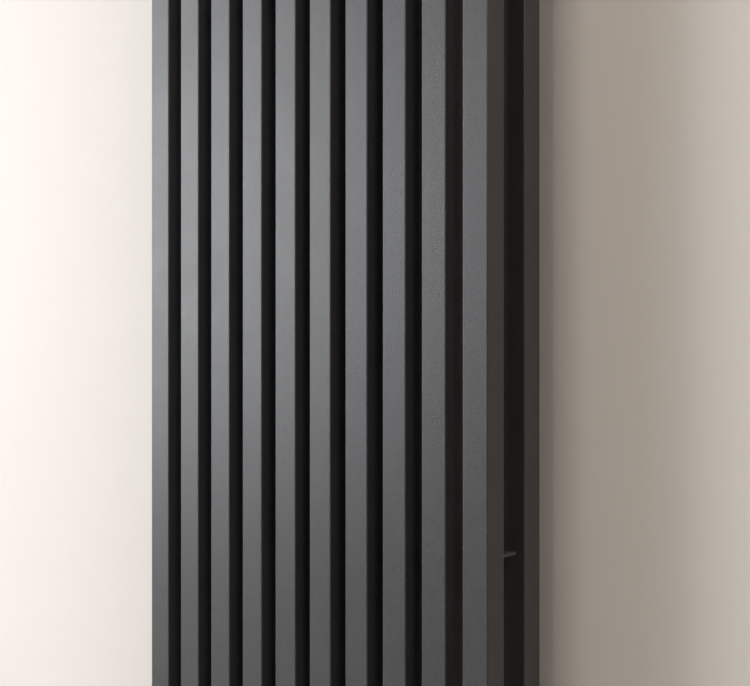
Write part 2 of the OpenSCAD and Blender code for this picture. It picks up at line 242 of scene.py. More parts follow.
def mix(tree, factor, a, b, blend="MIX"):
    """Two colours mixed."""
    node = add(tree, "ShaderNodeMix", {0: factor}, data_type="RGBA", blend_type=blend)
    for index, value in ((6, a), (7, b)):
        if isinstance(value, bpy.types.NodeSocket):
            tree.links.new(value, node.inputs[index])
        else:
            node.inputs[index].default_value = (*value[:3], 1.0)
    return node.outputs[2]


def noise(tree, vector, scale, detail=2.0, roughness=0.5):
    """A Noise Texture's value."""
    node = add(
        tree,
        "ShaderNodeTexNoise",
        {"Vector": vector, "Scale": scale, "Detail": detail, "Roughness": roughness},
    )
    return node.outputs[0]


def effect_group(name, inputs, outputs):
    """A new shader node group with float sockets, and its input and output nodes."""
    tree = bpy.data.node_groups.new(name, "ShaderNodeTree")
    for label, default in inputs:
        socket = tree.interface.new_socket(name=label, in_out="INPUT", socket_type="NodeSocketFloat")
        socket.default_value = default
    for label in outputs:
        tree.interface.new_socket(name=label, in_out="OUTPUT", socket_type="NodeSocketFloat")
    return tree, add(tree, "NodeGroupInput"), add(tree, "NodeGroupOutput")


def fine_grain():
    """The pebbled skin of a powder coat or of moulded plastic, with slow changes of tone."""
    tree, given, result = effect_group(
        "Fine Grain", [("Grain", 0.0013), ("Patch", 0.03)], ["Height", "Speckle", "Mottle"]
    )
    place = add(tree, "ShaderNodeTexCoord").outputs["Object"]
    scale = calc(tree, "DIVIDE", 1.0, given.outputs["Grain"])
    fine = noise(tree, place, scale, 3.0, 0.65)
    pits = add(tree, "ShaderNodeTexVoronoi", {"Vector": place, "Scale": scale}, feature="SMOOTH_F1")
    height = calc(tree, "MULTIPLY_ADD", pits.outputs["Distance"], -0.45, fine)
    tree.links.new(height, result.inputs["Height"])
    tree.links.new(spread(tree, fine, 0.3, 0.7, 0.0, 1.0), result.inputs["Speckle"])
    slow = noise(tree, place, calc(tree, "DIVIDE", 1.0, given.outputs["Patch"]), 4.0, 0.6)
    tree.links.new(spread(tree, slow, 0.3, 0.7, 0.0, 1.0), result.inputs["Mottle"])
    return tree


def settled_dust():
    """Dust on what faces up, in patches."""
    tree, given, result = effect_group("Settled Dust", [("Amount", 0.5)], ["Dust"])
    normal = add(tree, "ShaderNodeNewGeometry").outputs["Normal"]
    up = add(tree, "ShaderNodeSeparateXYZ", {0: normal}).outputs["Z"]
    place = add(tree, "ShaderNodeTexCoord").outputs["Object"]
    patches = spread(tree, noise(tree, place, 60.0, 4.0, 0.7), 0.35, 0.7, 0.3, 1.0)
    facing = spread(tree, up, 0.55, 1.0, 0.0, 1.0)
    dust = calc(tree, "MULTIPLY", calc(tree, "MULTIPLY", facing, patches), given.outputs["Amount"])
    tree.links.new(dust, result.inputs["Dust"])
    return tree


def edge_wear():
    """Where edges and corners are rubbed."""
    tree, given, result = effect_group("Edge Wear", [("Start", 0.53), ("End", 0.6)], ["Wear"])
    sharp = add(tree, "ShaderNodeNewGeometry").outputs["Pointiness"]
    place = add(tree, "ShaderNodeTexCoord").outputs["Object"]
    broken = spread(tree, noise(tree, place, 900.0, 3.0, 0.6), 0.35, 0.65, 0.2, 1.0)
    edge = add(
        tree,
        "ShaderNodeMapRange",
        {"Value": sharp, "From Min": given.outputs["Start"], "From Max": given.outputs["End"]},
    ).outputs["Result"]
    tree.links.new(calc(tree, "MULTIPLY", edge, broken), result.inputs["Wear"])
    return tree


def turning_marks():
    """Fine lathe rings round an axis parallel to Y or Z, the same on the left and the right."""
    tree, given, result = effect_group(
        "Turning Marks", [("Axis X", 0.215), ("Axis Z", -0.939), ("Pitch", 0.00035)], ["Height", "Bands"]
    )
    place = add(tree, "ShaderNodeSeparateXYZ", {0: add(tree, "ShaderNodeTexCoord").outputs["Object"]})
    across = calc(tree, "SUBTRACT", calc(tree, "ABSOLUTE", place.outputs["X"]), given.outputs["Axis X"])
    rise = calc(tree, "SUBTRACT", place.outputs["Z"], given.outputs["Axis Z"])
    squares = calc(tree, "ADD", calc(tree, "MULTIPLY", across, across), calc(tree, "MULTIPLY", rise, rise))
    radius = calc(tree, "SQRT", squares)
    travel = calc(tree, "ADD", radius, place.outputs["Y"])
    turns = calc(tree, "DIVIDE", travel, given.outputs["Pitch"])
    wave = calc(tree, "SINE", calc(tree, "MULTIPLY", turns, 2 * math.pi))
    uneven = add(
        tree,
        "ShaderNodeTexNoise",
        {"W": calc(tree, "MULTIPLY", turns, 0.37), "Detail": 2.0},
        noise_dimensions="1D",
    )
    height = calc(tree, "MULTIPLY_ADD", wave, 0.25, uneven.outputs[0])
    tree.links.new(height, result.inputs["Height"])
    tree.links.new(spread(tree, uneven.outputs[0], 0.3, 0.7, 0.0, 1.0), result.inputs["Bands"])
    return tree


def effect(tree, builder, label, **values):
    """Places one of the effect groups in a material."""
    group = bpy.data.node_groups.get(label) or builder()
    node = add(tree, "ShaderNodeGroup", node_tree=group)
    for key, value in values.items():
        node.inputs[key.replace("_", " ")].default_value = value
    return node


# ---------- materials ----------


def new_material(name):
    """An empty material and its tree, with a Principled shader joined to the output."""
    material = bpy.data.materials.new(name)
    material.use_nodes = True
    tree = material.node_tree
    tree.nodes.clear()
    shader = add(tree, "ShaderNodeBsdfPrincipled")
    add(tree, "ShaderNodeOutputMaterial", {"Surface": shader.outputs[0]})
    return material, tree, shader


def shades(colour, low, high):
    """A darker and a lighter version of a colour."""
    return tuple(c * low for c in colour), tuple(min(1.0, c * high) for c in colour)


def bump(tree, shader, height, strength, distance):
    """Feeds a height to the shader's normal."""
    node = add(tree, "ShaderNodeBump", {"Height": height, "Strength": strength, "Distance": distance})
    tree.links.new(node.outputs[0], shader.inputs["Normal"])


def powder_coat(name, colour, grain, patch, roughness, wear):
    """Satin powder coat: fine pebbled grain, slow changes of tone, light dust and rubbed edges."""
    material, tree, shader = new_material(name)
    skin = effect(tree, fine_grain, "Fine Grain", Grain=grain, Patch=patch)
    dust = effect(tree, settled_dust, "Settled Dust", Amount=0.35).outputs["Dust"]
    rubbed = effect(tree, edge_wear, "Edge Wear").outputs["Wear"]
    dark, light = shades(colour, 0.60, 1.42)
    speckled = mix(tree, skin.outputs["Speckle"], dark, light)
    pale = shades(colour, 1.0, 1.7)[1]
    toned = mix(tree, calc(tree, "MULTIPLY", skin.outputs["Mottle"], 0.16), speckled, pale)
    worn = mix(tree, calc(tree, "MULTIPLY", rubbed, wear), toned, shades(colour, 1.0, 2.2)[1])
    dusty = mix(tree, dust, worn, (0.30, 0.29, 0.27))
    tree.links.new(dusty, shader.inputs["Base Color"])
    rough = calc(tree, "MULTIPLY_ADD", skin.outputs["Speckle"], 0.10, roughness - 0.05)
    rough = calc(tree, "MULTIPLY_ADD", skin.outputs["Mottle"], 0.05, rough)
    rough = calc(tree, "MULTIPLY_ADD", dust, 0.3, rough)
    tree.links.new(rough, shader.inputs["Roughness"])
    bump(tree, shader, skin.outputs["Height"], 0.6, grain * 0.30)
    return material


def moulded_plastic(name, colour):
    """Matt plastic with the fine grain of a spark-eroded mould and shinier, rubbed edges."""
    material, tree, shader = new_material(name)
    skin = effect(tree, fine_grain, "Fine Grain", Grain=0.0005, Patch=0.012)
    rubbed = effect(tree, edge_wear, "Edge Wear", Start=0.52, End=0.62).outputs["Wear"]
    dark, light = shades(colour, 0.85, 1.18)
    toned = mix(tree, skin.outputs["Mottle"], dark, light)
    worn = mix(tree, calc(tree, "MULTIPLY", rubbed, 0.35), toned, shades(colour, 1.0, 2.0)[1])
    tree.links.new(worn, shader.inputs["Base Color"])
    rough = calc(tree, "MULTIPLY_ADD", skin.outputs["Speckle"], 0.12, 0.46)
    tree.links.new(calc(tree, "MULTIPLY_ADD", rubbed, -0.14, rough), shader.inputs["Roughness"])
    bump(tree, shader, skin.outputs["Height"], 0.35, 0.00006)
    return material


def turned_metal(name, colour, axis, pitch, roughness, tarnish):
    """Turned metal: lathe rings, slow tarnish and cleaner edges."""
    material, tree, shader = new_material(name)
    lathe = effect(tree, turning_marks, "Turning Marks", Axis_X=axis[0], Axis_Z=axis[1], Pitch=pitch)
    skin = effect(tree, fine_grain, "Fine Grain", Grain=0.0006, Patch=0.009)
    rubbed = effect(tree, edge_wear, "Edge Wear").outputs["Wear"]
    stained, ringed = shades(colour, 0.5, 1.0)[0], shades(colour, 0.7, 1.0)[0]
    dull = mix(tree, calc(tree, "MULTIPLY", skin.outputs["Mottle"], tarnish), colour, stained)
    banded = mix(tree, calc(tree, "MULTIPLY", lathe.outputs["Bands"], 0.25), dull, ringed)
    bright = mix(tree, calc(tree, "MULTIPLY", rubbed, 0.5), banded, shades(colour, 1.0, 1.25)[1])
    tree.links.new(bright, shader.inputs["Base Color"])
    shader.inputs["Metallic"].default_value = 1.0
    rough = calc(tree, "MULTIPLY_ADD", lathe.outputs["Bands"], 0.12, roughness)
    rough = calc(tree, "MULTIPLY_ADD", skin.outputs["Mottle"], 0.10, rough)
    tree.links.new(rough, shader.inputs["Roughness"])
    bump(tree, shader, lathe.outputs["Height"], 0.3, 0.00003)
    return material


def plated_metal(name, colour, roughness, cloud):
    """Plated steel: a cloudy, slightly milky tone with a fine grain."""
    material, tree, shader = new_material(name)
    skin = effect(tree, fine_grain, "Fine Grain", Grain=0.0007, Patch=0.014)
    rubbed = effect(tree, edge_wear, "Edge Wear").outputs["Wear"]
    milky = shades(colour, 0.62, 1.0)[0]
    cloudy = mix(tree, calc(tree, "MULTIPLY", skin.outputs["Mottle"], cloud), colour, milky)
    bright = mix(tree, calc(tree, "MULTIPLY", rubbed, 0.4), cloudy, shades(colour, 1.0, 1.3)[1])
    tree.links.new(bright, shader.inputs["Base Color"])
    shader.inputs["Metallic"].default_value = 1.0
    rough = calc(tree, "MULTIPLY_ADD", skin.outputs["Mottle"], 0.14, roughness)
    rough = calc(tree, "MULTIPLY_ADD", skin.outputs["Speckle"], 0.05, rough)
    tree.links.new(rough, shader.inputs["Roughness"])
    bump(tree, shader, skin.outputs["Height"], 0.2, 0.00003)
    return material


def seal_rubber(name, colour):
    """Matt black rubber with a faint bloom."""
    material, tree, shader = new_material(name)
    skin = effect(tree, fine_grain, "Fine Grain", Grain=0.0004, Patch=0.006)
    dark, light = shades(colour, 0.8, 1.6)
    tree.links.new(mix(tree, skin.outputs["Mottle"], dark, light), shader.inputs["Base Color"])
    tree.links.new(spread(tree, skin.outputs["Speckle"], 0.0, 1.0, 0.6, 0.78), shader.inputs["Roughness"])
    bump(tree, shader, skin.outputs["Height"], 0.3, 0.00004)
    return material


def printed_marks(name, colour):
    """Pad-printed ink, a little uneven."""
    material, tree, shader = new_material(name)
    skin = effect(tree, fine_grain, "Fine Grain", Grain=0.0003, Patch=0.003)
    dark, light = shades(colour, 0.86, 1.05)
    tree.links.new(mix(tree, skin.outputs["Mottle"], dark, light), shader.inputs["Base Color"])
    tree.links.new(spread(tree, skin.outputs["Speckle"], 0.0, 1.0, 0.42, 0.55), shader.inputs["Roughness"])
    bump(tree, shader, skin.outputs["Height"], 0.2, 0.00002)
    return material


def finish(slot):
    """The material of one of the record's slots, made when it is first asked for."""
    ready = bpy.data.materials.get("finish_" + slot)
    if ready:
        return ready
    scene = bpy.context.scene
    colours, sizes = scene.radiator_colours, scene.radiator_sizes
    name = "finish_" + slot
    valve_axis = (HEAD_AXIS.x, HEAD_AXIS.z)
    builders = {
        "radiator_coat": lambda: powder_coat(name, tuple(colours.coat), sizes.grain_size, 0.05, 0.36, 0.25),
        "valve_coat": lambda: powder_coat(name, tuple(colours.valve_coat), 0.0007, 0.02, 0.36, 0.45),
        "head_plastic": lambda: moulded_plastic(name, tuple(colours.plastic)),
        "dial_marks": lambda: printed_marks(name, tuple(colours.marks)),
        "brass": lambda: turned_metal(name, tuple(colours.brass), valve_axis, 0.0005, 0.24, 0.5),
        "end_disc": lambda: turned_metal(name, tuple(colours.disc), valve_axis, 0.0006, 0.26, 0.15),
        "nickel_plate": lambda: plated_metal(name, tuple(colours.nickel), 0.2, 0.4),
        "zinc_plate": lambda: plated_metal(name, tuple(colours.zinc), 0.3, 0.8),
        "spring_steel": lambda: plated_metal(name, tuple(colours.spring), 0.28, 0.5),
        "rubber": lambda: seal_rubber(name, tuple(colours.rubber)),
    }
    return builders[slot]()


# ---------- mesh helpers ----------


def link(name, mesh):
    """A new object in the scene."""
    piece = bpy.data.objects.new(name, mesh)
    bpy.context.scene.collection.objects.link(piece)
    return piece


def bake(piece):
    """Turns the piece with its modifiers into a plain mesh."""
    graph = bpy.context.evaluated_depsgraph_get()
    mesh = bpy.data.meshes.new_from_object(piece.evaluated_get(graph), depsgraph=graph)
    mesh.name = piece.name
    piece.modifiers.clear()
    piece.data = mesh
    return piece


def soften(piece, width, segments=2, angle=30.0):
    """Rounds the edges and gives flat faces flat shading across the rounding."""
    for face in piece.data.polygons:
        face.use_smooth = True
    if width > 0:
        bevel = piece.modifiers.new("Edges", "BEVEL")
        bevel.width = width
        bevel.segments = segments
        bevel.limit_method = "ANGLE"
        bevel.angle_limit = math.radians(angle)
        bevel.use_clamp_overlap = True
        bevel.harden_normals = False
    normals = piece.modifiers.new("Normals", "WEIGHTED_NORMAL")
    normals.weight = 100
    normals.keep_sharp = False
    return bake(piece)


def place_piece(piece, slot, body, nodes=()):
    """Gives a finished piece its material and body, and hides the CAD nodes it stands in for."""
    if not piece.data.materials:
        piece.data.materials.append(finish(slot))
    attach(piece, body)
    if nodes:
        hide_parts(*nodes)
    return piece


def body_of(node):
    """The body that a CAD node moves with."""
    return NODES[node]["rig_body"]


def slot_of(node):
    """The material slot of a CAD node."""
    return next(part["material_slot"] for part in frame["record"]["subparts"] if part["node"] == node)


def softened_copy(node, name, width, segments=2, angle=30.0):
    """Stands a copy with rounded edges in a CAD node's place."""
    mesh = NODES[node].data.copy()
    mesh.name = name
    if "custom_normal" in mesh.attributes:
        mesh.attributes.remove(mesh.attributes["custom_normal"])
    mesh.materials.clear()
    shape = bmesh.new()
    shape.from_mesh(mesh)
    bmesh.ops.remove_doubles(shape, verts=shape.verts, dist=1e-6)
    bmesh.ops.dissolve_limit(
        shape,
        angle_limit=math.radians(FLAT_ANGLE),
        verts=shape.verts,
        edges=shape.edges,
        use_dissolve_boundaries=False,
    )
    shape.to_mesh(mesh)
    shape.free()
    piece = soften(link(name, mesh), width, segments, angle)
    piece.data.materials.append(finish(slot_of(node)))
    return place_piece(piece, slot_of(node), body_of(node), (node,))


# ---------- geometry node trees ----------


def geometry_tree(name, inputs, has_geometry=False):
    """A new geometry tree with named inputs, and its input and output nodes."""
    tree = bpy.data.node_groups.new(name, "GeometryNodeTree")
    tree.is_modifier = True
    if has_geometry:
        tree.interface.new_socket(name="Geometry", in_out="INPUT", socket_type="NodeSocketGeometry")
    for label, kind in inputs:
        tree.interface.new_socket(name=label, in_out="INPUT", socket_type="NodeSocket" + kind)
    tree.interface.new_socket(name="Geometry", in_out="OUTPUT", socket_type="NodeSocketGeometry")
    return tree, add(tree, "NodeGroupInput"), add(tree, "NodeGroupOutput")


def finish_tree(tree, geometry, material, result):
    """Ends a tree: instances made real, material set."""
    real = add(tree, "GeometryNodeRealizeInstances", {"Geometry": geometry})
    painted = add(tree, "GeometryNodeSetMaterial", {"Geometry": real.outputs[0], "Material": material})
    tree.links.new(painted.outputs[0], result.inputs[0])


def grown(name, tree, values, mesh=None):
    """A piece made by a geometry tree, as a plain mesh."""
    piece = link(name, mesh or bpy.data.meshes.new(name))
    modifier = piece.modifiers.new(tree.name, "NODES")
    modifier.node_group = tree
    for item in tree.interface.items_tree:
        if item.in_out == "INPUT" and item.name in values:
            modifier[item.identifier] = values[item.name]
    return bake(piece)


def square_bars_tree():
    """Square tubes with round corners and rounded ends, side by side."""
    tree, given, result = geometry_tree(
        "Square Bars",
        [
            ("Width", "Float"),
            ("Length", "Float"),
            ("Corner Radius", "Float"),
            ("End Rounding", "Float"),
            ("Direction", "Vector"),
            ("Count", "Int"),
            ("First", "Vector"),
            ("Step", "Vector"),
            ("Material", "Material"),
        ],
    )
    width, rounding = given.outputs["Width"], given.outputs["End Rounding"]
    outline = add(
        tree,
        "GeometryNodeCurvePrimitiveQuadrilateral",
        {"Width": width, "Height": width},
        mode="RECTANGLE",
    )
    profile = add(
        tree,
        "GeometryNodeFilletCurve",
        {"Curve": outline.outputs[0], "Radius": given.outputs["Corner Radius"], "Count": 5},
        mode="POLY",
    )
    rings = 10
    ends = {"Start": (0.0, 0.0, 0.0), "End": given.outputs["Direction"]}
    path = add(tree, "GeometryNodeCurvePrimitiveLine", ends)
    points = add(tree, "GeometryNodeResampleCurve", {"Curve": path.outputs[0], "Count": rings}, mode="COUNT")
    index = add(tree, "GeometryNodeInputIndex").outputs[0]
    from_end = calc(tree, "MINIMUM", index, calc(tree, "SUBTRACT", rings - 1.0, index))
    angle = calc(tree, "MULTIPLY", from_end, math.pi / (rings - 2))
    depth = calc(tree, "MULTIPLY", rounding, calc(tree, "SUBTRACT", 1.0, calc(tree, "COSINE", angle)))
    inset = calc(tree, "MULTIPLY", rounding, calc(tree, "SUBTRACT", 1.0, calc(tree, "SINE", angle)))
    side = calc(tree, "MULTIPLY_ADD", calc(tree, "GREATER_THAN", index, rings / 2 - 0.5), 2.0, -1.0)
    reach = calc(tree, "SUBTRACT", calc(tree, "MULTIPLY", given.outputs["Length"], 0.5), depth)
    along = add(
        tree,
        "ShaderNodeVectorMath",
        {0: given.outputs["Direction"], "Scale": calc(tree, "MULTIPLY", side, reach)},
        operation="SCALE",
    )
    moved = {"Geometry": points.outputs[0], "Position": along.outputs[0]}
    placed = add(tree, "GeometryNodeSetPosition", moved)
    scale = calc(tree, "SUBTRACT", 1.0, calc(tree, "DIVIDE", calc(tree, "MULTIPLY", inset, 2.0), width))
    tube = add(
        tree,
        "GeometryNodeCurveToMesh",
        {"Curve": placed.outputs[0], "Profile Curve": profile.outputs[0], "Scale": scale, "Fill Caps": True},
    )
    row = add(
        tree,
        "GeometryNodeMeshLine",
        {
            "Count": given.outputs["Count"],
            "Start Location": given.outputs["First"],
            "Offset": given.outputs["Step"],
        },
        mode="OFFSET",
    )
    repeated = {"Points": row.outputs[0], "Instance": tube.outputs[0]}
    copies = add(tree, "GeometryNodeInstanceOnPoints", repeated)
    finish_tree(tree, copies.outputs[0], given.outputs["Material"], result)
    return tree


def weld_bead_tree():
    """A row of flattened, overlapping ripples along each path."""
    tree, given, result = geometry_tree(
        "Weld Bead",
        [("Bead Radius", "Float"), ("Pitch", "Float"), ("Seed", "Int"), ("Material", "Material")],
        has_geometry=True,
    )
    paths = add(tree, "GeometryNodeMeshToCurve", {"Mesh": given.outputs["Geometry"]})
    steps = add(
        tree,
        "GeometryNodeCurveToPoints",
        {"Curve": paths.outputs[0], "Length": given.outputs["Pitch"]},
        mode="LENGTH",
    )
    ball = {"Segments": 8, "Rings": 4, "Radius": given.outputs["Bead Radius"]}
    drop = add(tree, "GeometryNodeMeshUVSphere", ball)
    uneven = add(
        tree,
        "FunctionNodeRandomValue",
        {0: (0.86, 0.86, 0.55), 1: (1.12, 1.12, 0.75), "Seed": given.outputs["Seed"]},
        data_type="FLOAT_VECTOR",
    )
    copies = add(
        tree,
        "GeometryNodeInstanceOnPoints",
        {
            "Points": steps.outputs["Points"],
            "Instance": drop.outputs[0],
            "Rotation": steps.outputs["Rotation"],
            "Scale": uneven.outputs[0],
        },
    )
    finish_tree(tree, copies.outputs[0], given.outputs["Material"], result)
    return tree


def dial_ticks_tree():
    """Short raised ticks on a drum, between the numbers."""
    tree, given, result = geometry_tree(
        "Dial Ticks",
        [
            ("Drum Radius", "Float"),
            ("Tick Length", "Float"),
            ("Tick Width", "Float"),
            ("Relief", "Float"),
            ("Count", "Int"),
            ("First Angle", "Float"),
            ("Step Angle", "Float"),
            ("Centre", "Vector"),
            ("Material", "Material"),
        ],
    )
    block = add(
        tree,
        "ShaderNodeCombineXYZ",
        {
            "X": given.outputs["Tick Width"],
            "Y": given.outputs["Tick Length"],
            "Z": calc(tree, "MULTIPLY", given.outputs["Relief"], 4.0),
        },
    )
    tick = add(tree, "GeometryNodeMeshCube", {"Size": block.outputs[0]})
    stack = {"Count": given.outputs["Count"], "Offset": (0.0, 0.0, 0.0)}
    marks = add(tree, "GeometryNodeMeshLine", stack, mode="OFFSET")
    index = add(tree, "GeometryNodeInputIndex").outputs[0]
    angle = calc(tree, "MULTIPLY_ADD", index, given.outputs["Step Angle"], given.outputs["First Angle"])
    radius = calc(tree, "MULTIPLY_ADD", given.outputs["Relief"], -1.0, given.outputs["Drum Radius"])
    around = add(
        tree,
        "ShaderNodeCombineXYZ",
        {
            "X": calc(tree, "MULTIPLY", radius, calc(tree, "SINE", angle)),
            "Z": calc(tree, "MULTIPLY", radius, calc(tree, "COSINE", angle)),
        },
    )
    sides = {0: around.outputs[0], 1: given.outputs["Centre"]}
    spot = add(tree, "ShaderNodeVectorMath", sides, operation="ADD")
    placed = add(tree, "GeometryNodeSetPosition", {"Geometry": marks.outputs[0], "Position": spot.outputs[0]})
    turn = add(tree, "ShaderNodeCombineXYZ", {"Y": angle})
    copies = add(
        tree,
        "GeometryNodeInstanceOnPoints",
        {"Points": placed.outputs[0], "Instance": tick.outputs[0], "Rotation": turn.outputs[0]},
    )
    finish_tree(tree, copies.outputs[0], given.outputs["Material"], result)
    return tree


def tree_named(name, builder):
    """A geometry tree, built when it is first asked for."""
    return bpy.data.node_groups.get(name) or builder()


# ---------- pieces ----------


def row_of_bars(name, nodes, width, length, direction, first, step, count):
    """One piece of like square tubes."""
    sizes = bpy.context.scene.radiator_sizes
    piece = grown(
        name,
        tree_named("Square Bars", square_bars_tree),
        {
            "Width": width,
            "Length": length,
            "Corner Radius": sizes.corner_radius,
            "End Rounding": sizes.end_rounding,
            "Direction": direction,
            "Count": count,
            "First": first,
            "Step": step,
            "Material": finish("radiator_coat"),
        },
    )
    soften(piece, 0.0)
    return place_piece(piece, "radiator_coat", "radiator", nodes)


class RADIATOR_OT_front_bars(bpy.types.Operator):
    """Make the front row of square bars"""

    bl_idname = "radiator.front_bars"
    bl_label = "Front Bars"

    def execute(self, context):
        spot = middle("front_bar_01")
        row_of_bars(
            "front_bars",
            FRONT_BARS + ["end_caps"],
            BAR_WIDTH,
            BAR_HEIGHT,
            (0.0, 0.0, 1.0),
            (spot.x, spot.y, 0.0),
            (BAR_PITCH, 0.0, 0.0),
            BARS,
        )
        return {"FINISHED"}


class RADIATOR_OT_rear_bars(bpy.types.Operator):
    """Make the rear row of square bars"""

    bl_idname = "radiator.rear_bars"
    bl_label = "Rear Bars"

    def execute(self, context):
        spot = middle("rear_bar_01")
        row_of_bars(
            "rear_bars",
            REAR_BARS + ["end_caps"],
            BAR_WIDTH,
            BAR_HEIGHT,
            (0.0, 0.0, 1.0),
            (spot.x, spot.y, 0.0),
            (BAR_PITCH, 0.0, 0.0),
            BARS,
        )
        return {"FINISHED"}


class RADIATOR_OT_headers(bpy.types.Operator):
    """Make the two headers between the rows, and the bosses that take the valves and the plugs"""

    bl_idname = "radiator.headers"
    bl_label = "Headers"

    def execute(self, context):
        top, bottom = middle("top_header"), middle("bottom_header")
        row_of_bars(
            "headers",
            ["top_header", "bottom_header", "end_caps"],
            HEADER_WIDTH,
            size("top_header").x + 2 * HEADER_PLATE,
            (1.0, 0.0, 0.0),
            tuple(bottom),
            tuple(top - bottom),
            2,
        )
        softened_copy("tapping_bosses", "bosses", context.scene.radiator_sizes.plate_bevel)
        return {"FINISHED"}


def line(shape, start, end):
    """Adds one straight path to the shape."""
    shape.edges.new([shape.verts.new(start), shape.verts.new(end)])


def circle(shape, centre, radius, steps=24):
    """Adds a level round path to the shape."""
    x, y, z = centre
    turn = 2 * math.pi / steps
    ring = [
        shape.verts.new((x + radius * math.cos(turn * i), y + radius * math.sin(turn * i), z))
        for i in range(steps)
    ]
    for i in range(steps):
        shape.edges.new([ring[i], ring[(i + 1) % steps]])


class RADIATOR_OT_welds(bpy.types.Operator):
    """Make the weld beads of the headers, the bosses and the tie bars"""

    bl_idname = "radiator.welds"
    bl_label = "Weld Beads"

    def execute(self, context):
        sizes = context.scene.radiator_sizes
        shape = bmesh.new()
        tie_low, tie_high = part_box("tie_bars")
        for name in FRONT_BARS:
            x = middle(name).x
            for header in ("top_header", "bottom_header"):
                low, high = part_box(header)
                for y in (low.y, high.y):
                    for z in (low.z + HEADER_WELD_INSET, high.z - HEADER_WELD_INSET):
                        line(shape, (x - HEADER_WELD_HALF, y, z), (x + HEADER_WELD_HALF, y, z))
            for middle_z in (tie_low.z + TIE_HALF, tie_high.z - TIE_HALF):
                for rise in (-TIE_HALF - TIE_WELD_GAP, TIE_HALF + TIE_WELD_GAP):
                    y, z = tie_low.y + WELD_LIFT, middle_z + rise
                    line(shape, (x - TIE_WELD_HALF, y, z), (x + TIE_WELD_HALF, y, z))
        low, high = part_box("tapping_bosses")
        for x in (low.x + BOSS_RADIUS, high.x - BOSS_RADIUS):
            for z in (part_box("top_header")[1].z + WELD_LIFT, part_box("bottom_header")[0].z - WELD_LIFT):
                circle(shape, (x, middle("top_header").y, z), BOSS_RADIUS + WELD_LIFT)
        paths = bpy.data.meshes.new("weld_paths")
        shape.to_mesh(paths)
        shape.free()
        piece = grown(
            "weld_beads",
            tree_named("Weld Bead", weld_bead_tree),
            {
                "Bead Radius": sizes.bead_radius,
                "Pitch": sizes.bead_pitch,
                "Seed": 7,
                "Material": finish("radiator_coat"),
            },
            paths,
        )
        for face in piece.data.polygons:
            face.use_smooth = True
        place_piece(piece, "radiator_coat", "radiator")
        return {"FINISHED"}


class RADIATOR_OT_tie_bars(bpy.types.Operator):
    """Make the flat strips across the backs of the front bars"""

    bl_idname = "radiator.tie_bars"
    bl_label = "Tie Bars"

    def execute(self, context):
        softened_copy("tie_bars", "tie_strips", context.scene.radiator_sizes.plate_bevel, 3)
        return {"FINISHED"}


class RADIATOR_OT_brackets(bpy.types.Operator):
    """Make the four wall brackets"""

    bl_idname = "radiator.brackets"
    bl_label = "Wall Brackets"

    def execute(self, context):
        bevel = context.scene.radiator_sizes.plate_bevel
        softened_copy("wall_cups", "bracket_cups", bevel)
        softened_copy("rear_saddles", "bracket_saddles", bevel)
        softened_copy("clamp_plates", "bracket_clamps", bevel)
        softened_copy("clamp_bolts", "bracket_bolts", bevel)
        softened_copy("bracket_spindles", "bracket_posts", bevel)
        return {"FINISHED"}


class RADIATOR_OT_valve_fittings(bpy.types.Operator):
    """Make the bodies, nuts and tails of both valves"""

    bl_idname = "radiator.valve_fittings"
    bl_label = "Valve Bodies and Nuts"

    def execute(self, context):
        bevel = context.scene.radiator_sizes.fitting_bevel
        softened_copy("thermostatic_body", "thermostatic_casting", bevel, 2, 28.0)
        softened_copy("lockshield_body", "lockshield_casting", bevel, 2, 28.0)
        softened_copy("union_nuts", "tail_nuts", bevel, 2, 20.0)
        softened_copy("compression_nuts", "pipe_nuts", bevel, 2, 20.0)
        softened_copy("tail_pieces", "valve_tails", bevel)
        return {"FINISHED"}


class RADIATOR_OT_thermostatic_head(bpy.types.Operator):
    """Make the thermostatic head: collar nut, skirt, grip and end disc"""

    bl_idname = "radiator.thermostatic_head"
    bl_label = "Thermostatic Head"

    def execute(self, context):
        bevel = context.scene.radiator_sizes.plastic_bevel
        softened_copy("head_collar_nut", "collar_nut", bevel * 0.5)
        softened_copy("head_base", "head_skirt", bevel * 0.5)
        softened_copy("head_grip", "grip_shell", bevel, 3, 25.0)
        softened_copy("head_end_disc", "spun_disc", 0.0003)
        return {"FINISHED"}


def flat_number(text, height):
    """The outline of a number as a flat mesh, centred on the origin."""
    curve = bpy.data.curves.new("number_" + text, "FONT")
    curve.body = text
    curve.size = height / 0.7
    curve.align_x = "CENTER"
    curve.resolution_u = 6
    curve.extrude = 0.0
    maker = link("number_" + text, curve)
    graph = bpy.context.evaluated_depsgraph_get()
    mesh = bpy.data.meshes.new_from_object(maker.evaluated_get(graph), depsgraph=graph)
    bpy.data.objects.remove(maker)
    return mesh


